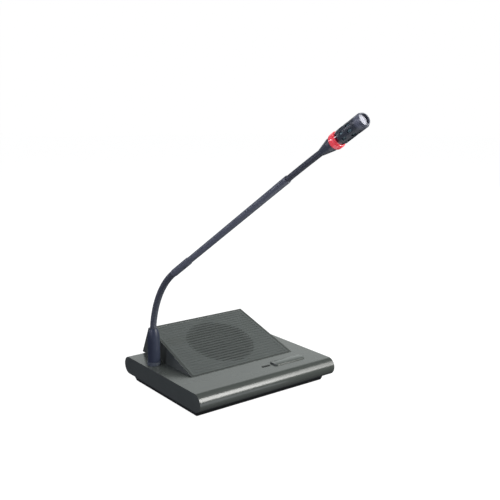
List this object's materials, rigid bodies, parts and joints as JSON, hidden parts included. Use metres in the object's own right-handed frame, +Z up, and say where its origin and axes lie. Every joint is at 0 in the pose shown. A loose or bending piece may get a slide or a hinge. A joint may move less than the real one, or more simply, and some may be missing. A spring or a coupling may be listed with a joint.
{
  "type": "conference microphone",
  "caption": "Desk conference microphone with a wedge-shaped loudspeaker base, ribbed grille, talk button and a two-stage gooseneck with a red light ring under the head.",
  "frame": {"origin": "on the table under the middle of the base slab", "axes": "+X to the user's right, +Y to the rear, +Z up; the user sits at -Y"},
  "size_m": [0.2, 0.3985, 0.3404],
  "materials": {
    "housing": "moulded, fine grain, satin",
    "grille": "moulded, ribbed, satin",
    "cover": "moulded, matt",
    "button": "moulded, satin",
    "mat": "moulded rubber, fine grid",
    "cloth": "woven acoustic cloth",
    "foam": "open foam",
    "paper": "pressed paper pulp",
    "neck": "satin blue-black coating",
    "flex": "wound steel strip, blue-black coating",
    "head": "satin black coating",
    "collar": "satin coating",
    "light": "translucent moulding",
    "lens": "smoked moulding",
    "steel": "zinc plated",
    "mesh": "woven wire",
    "liner": "woven wire, dark coating",
    "brass": "turned",
    "ferrite": "sintered ferrite, ground",
    "capsule": "drawn can",
    "board": "glass-fibre laminate with green solder resist",
    "device": "moulded",
    "header": "moulded nylon",
    "socket": "moulded, fine turned rim",
    "lead": "extruded sheath"
  },
  "bodies": {
    "base": {"top_shell": "housing", "wedge_shell": "housing", "grille_panel": "grille", "grille_cloth": "cloth", "speaker_gasket": "foam", "speaker_frame": "steel", "speaker_surround": "foam", "speaker_cone": "paper", "dust_cap": "paper", "voice_coil": "brass", "spider": "paper", "top_plate": "steel", "magnet": "ferrite", "yoke": "steel", "speaker_screws": "steel", "bottom_cover": "cover", "cover_screws": "steel", "anti_slip_mat": "mat", "ballast_plate": "steel", "ballast_screws": "steel", "circuit_board": "board", "board_screws": "steel", "capacitors": "device", "amplifier_chip": "device", "board_headers": "header", "switch_case": "device", "indicator_lens": "lens", "indicator_led": "light", "bus_sockets": "socket", "socket_inserts": "socket", "socket_nuts": "steel", "neck_bush": "brass", "neck_washer": "steel", "neck_nut": "brass", "neck_collar": "collar", "neck_sleeve": "neck", "base_lead": "lead", "speaker_leads": "lead", "socket_leads": "lead"},
    "lower_bend": {"lower_flex": "flex"},
    "arm": {"ferrule": "neck", "stem": "neck", "neck_lead": "lead"},
    "upper_bend": {"upper_flex": "flex"},
    "head": {"head_cone": "neck", "light_ring": "light", "ring_leds": "board", "head_sleeve": "head", "head_mesh": "liner", "capsule": "capsule", "capsule_boot": "foam", "mouth_mesh": "mesh"},
    "talk": {"talk_button": "button", "switch_plunger": "header"}
  },
  "joints": [
    {"name": "talk_press", "type": "slide", "parent": "base", "child": "talk", "axis": [0, 0, 1], "range_m": [-0.001, 0], "stiffness_N_per_m": 1500, "springref_m": 0.0005},
    {"name": "neck_swing", "type": "hinge", "parent": "base", "child": "lower_bend", "pos_m": [-0.088, 0.02747, 0.10094], "axis": [0, 0.9357, 0.3529], "range_deg": [-45, 45], "deforming": ["lower_flex", "neck_lead"]},
    {"name": "neck_tilt", "type": "hinge", "parent": "lower_bend", "child": "arm", "pos_m": [-0.088, 0.00158, 0.14066], "axis": [1, 0, 0], "range_deg": [-55, 25], "deforming": ["lower_flex", "neck_lead"]},
    {"name": "head_tilt", "type": "hinge", "parent": "arm", "child": "upper_bend", "pos_m": [-0.088, -0.22728, 0.28666], "axis": [1, 0, 0], "range_deg": [-45, 45], "deforming": ["upper_flex", "neck_lead"]},
    {"name": "head_swing", "type": "hinge", "parent": "upper_bend", "child": "head", "pos_m": [-0.088, -0.24908, 0.29989], "axis": [0, 0.5132, 0.8583], "range_deg": [-45, 45], "deforming": ["upper_flex", "neck_lead"]}
  ]
}
